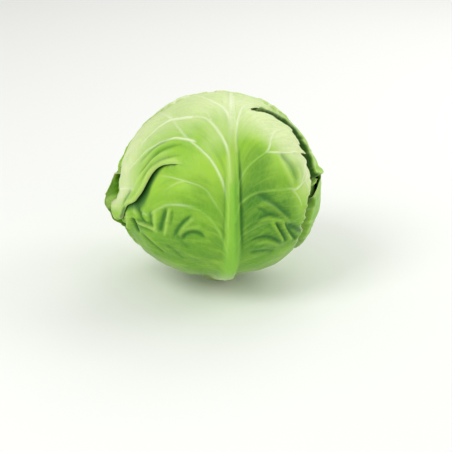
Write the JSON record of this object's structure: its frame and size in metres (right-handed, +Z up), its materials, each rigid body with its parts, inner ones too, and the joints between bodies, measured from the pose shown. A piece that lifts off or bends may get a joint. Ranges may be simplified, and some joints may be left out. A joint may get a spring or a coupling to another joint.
{
  "type": "cabbage head",
  "caption": "Round green cabbage head on a short cut stump, with a veined front leaf and loose, curled wrapper leaves round a dense heart.",
  "frame": {"origin": "middle of the stump's flat cut face, which the head stands on", "axes": "+Z up through the crown of the head, -Y out through the rib of the front leaf, +X to the right of someone who looks at the front leaf"},
  "size_m": [0.1868, 0.1804, 0.1641],
  "materials": {
    "leaf_green": "waxy green leaf, satin, with pale raised veins and a whitish bloom towards the crown",
    "leaf_pale": "paler waxy leaf, satin, with whitish veins",
    "heart_pale": "pale yellow-green leaves packed tight, satin",
    "stump_cream": "cream cut stem with a fibrous ring and a green rind, slightly damp"
  },
  "bodies": {
    "root": {"stump": "stump_cream", "heart": "heart_pale", "inner_leaf_back": "leaf_pale", "inner_leaf_right": "leaf_pale", "inner_leaf_left": "leaf_pale", "wrapper_leaf_back_left": "leaf_green", "wrapper_leaf_back_right": "leaf_green", "wrapper_leaf_front": "leaf_green"}
  },
  "joints": []
}
